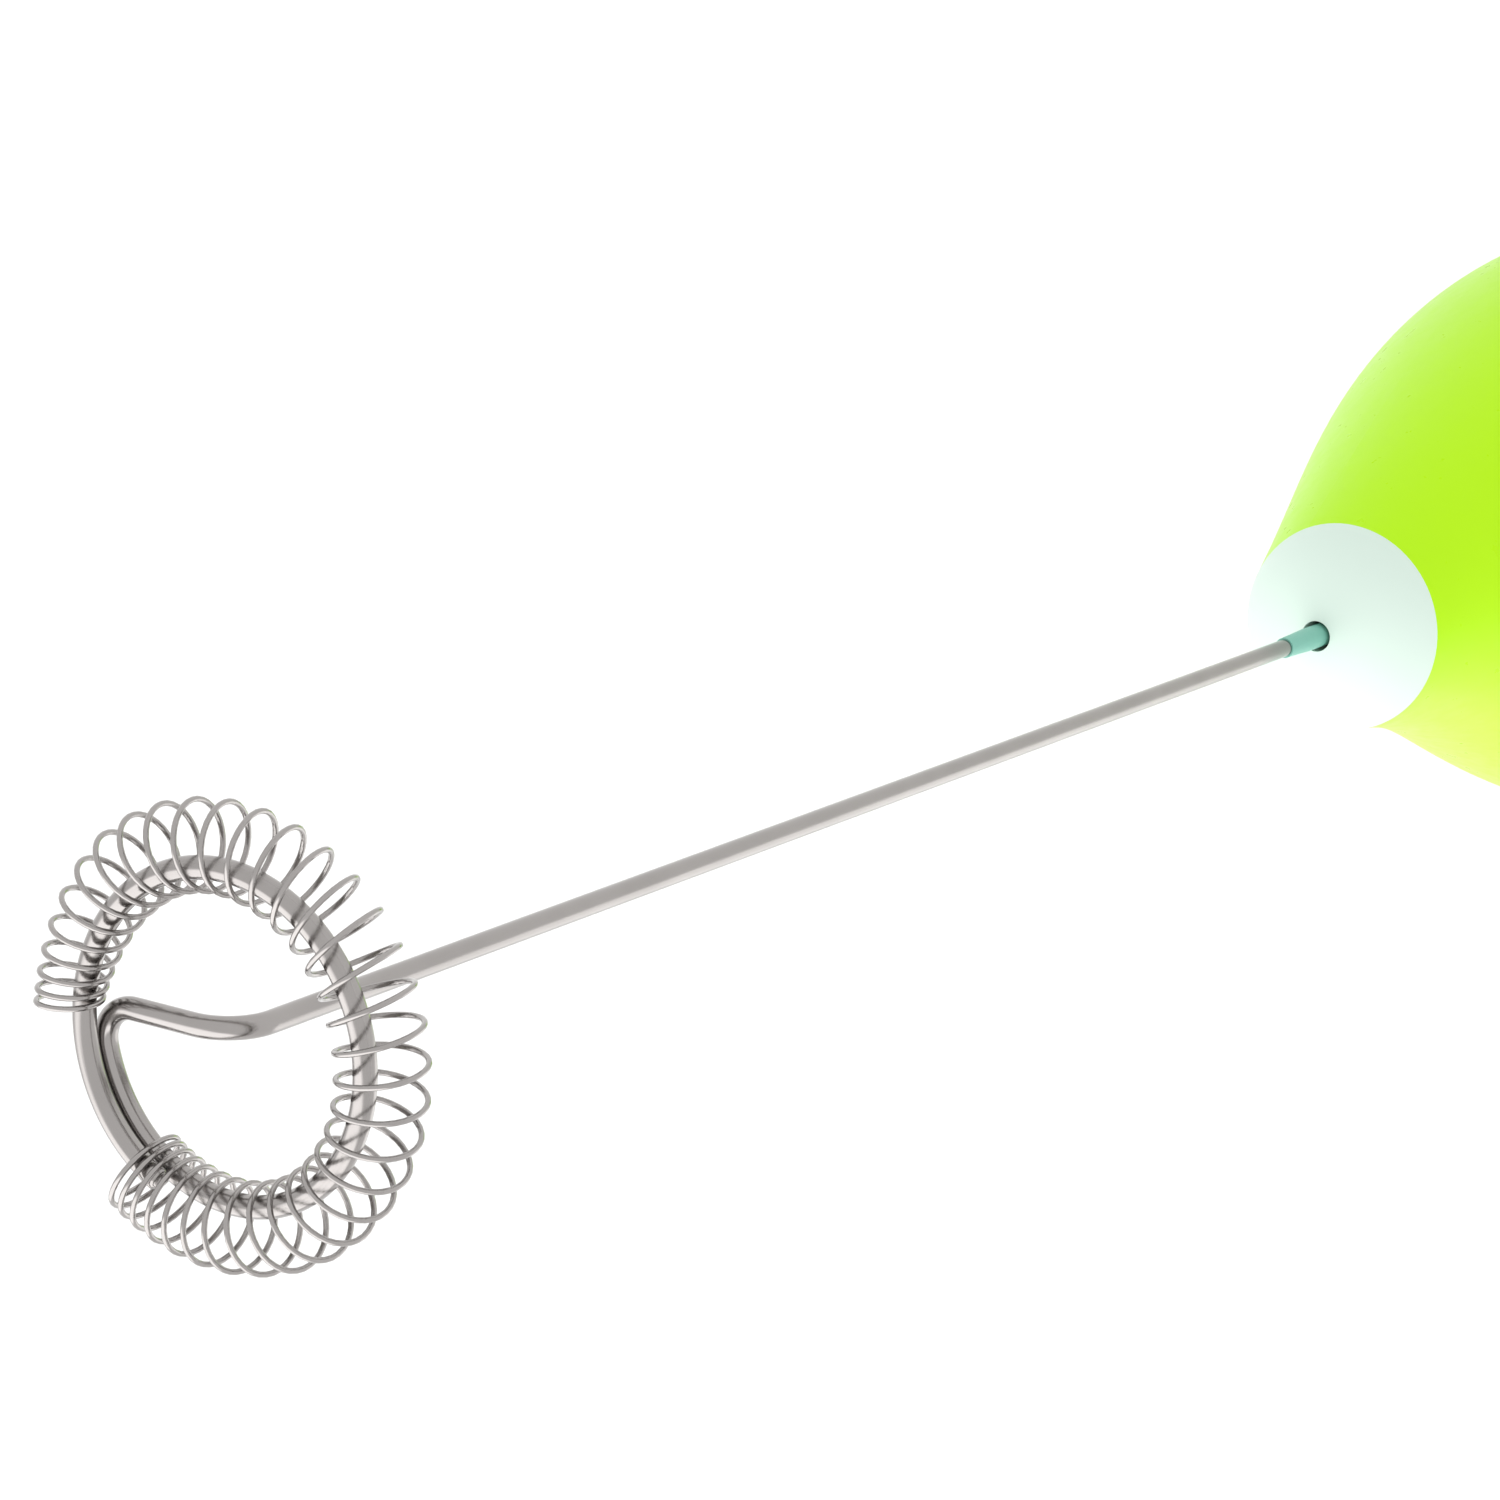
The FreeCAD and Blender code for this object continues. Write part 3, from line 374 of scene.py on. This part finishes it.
def make_floor():
    size = 3.0
    bm = bmesh.new()
    bmesh.ops.create_grid(bm, x_segments=24, y_segments=24, size=size)
    floor = new_object("floor", bm)
    material, tree, shader = node_material("floor_paper")
    place = object_coordinates(tree)
    cloud = noise(tree, place, 6.0, 3.0)
    paper = mixed_colour(tree, cloud, (0.75, 0.75, 0.75), (0.78, 0.78, 0.775))
    tree.links.new(paper, shader.inputs["Base Color"])
    shader.inputs["Roughness"].default_value = 0.9
    bump(tree, shader, noise(tree, place, 900.0, 4.0), 0.1, 0.0001)
    floor.data.materials.append(material)


def make_light():
    """A soft white room with one large bright window, and a pool of light on the floor on the -X side."""
    world = bpy.data.worlds.new("studio")
    bpy.context.scene.world = world
    world.use_nodes = True
    tree = world.node_tree
    towards = add(tree, "ShaderNodeVectorMath", operation="DOT_PRODUCT")
    tree.links.new(tree.nodes.new("ShaderNodeTexCoord").outputs["Generated"], towards.inputs[0])
    towards.inputs[1].default_value = Vector((-0.64, 0.59, 0.48)).normalized()
    strength = ramp(tree, towards.outputs["Value"], 0.62, 0.76, 1.12, 2.6)
    tree.links.new(strength, tree.nodes["Background"].inputs["Strength"])
    tree.nodes["Background"].inputs["Color"].default_value = (1, 1, 1, 1)
    light = bpy.data.lights.new("pool", "SPOT")
    light.energy = 36.0
    light.spot_size = math.radians(17.0)
    light.spot_blend = 0.5
    light.shadow_soft_size = 0.02
    pool = bpy.data.objects.new("pool", light)
    pool.location = (-0.175, -0.03, 0.9)
    bpy.context.scene.collection.objects.link(pool)


def make_camera():
    """A long lens beyond the whisk, looking down the shaft towards the handle, well rolled."""
    camera = bpy.data.cameras.new("camera")
    camera.lens = 105.0
    camera.sensor_width = 36.0
    camera.clip_start = 0.01
    camera.clip_end = 20.0
    obj = bpy.data.objects.new("camera", camera)
    obj.location = Vector((5.07, -145.4, 153.5)) * MM + Vector((0, 0, RING_Z))
    down_tilt = math.radians(54.2)
    roll = math.radians(108.63)
    forward = Vector((0, math.cos(down_tilt), -math.sin(down_tilt)))
    level_up = Vector((0, math.sin(down_tilt), math.cos(down_tilt)))
    up = level_up * math.cos(roll) + Vector((1, 0, 0)) * math.sin(roll)
    right = forward.cross(up)
    basis = obj.matrix_world.to_3x3()
    basis.col[0], basis.col[1], basis.col[2] = right, up, -forward
    obj.rotation_mode = "QUATERNION"
    obj.rotation_quaternion = basis.to_quaternion()
    bpy.context.scene.collection.objects.link(obj)
    bpy.context.scene.camera = obj


make_floor()
make_light()
make_camera()
bpy.context.scene.view_settings.view_transform = "Standard"
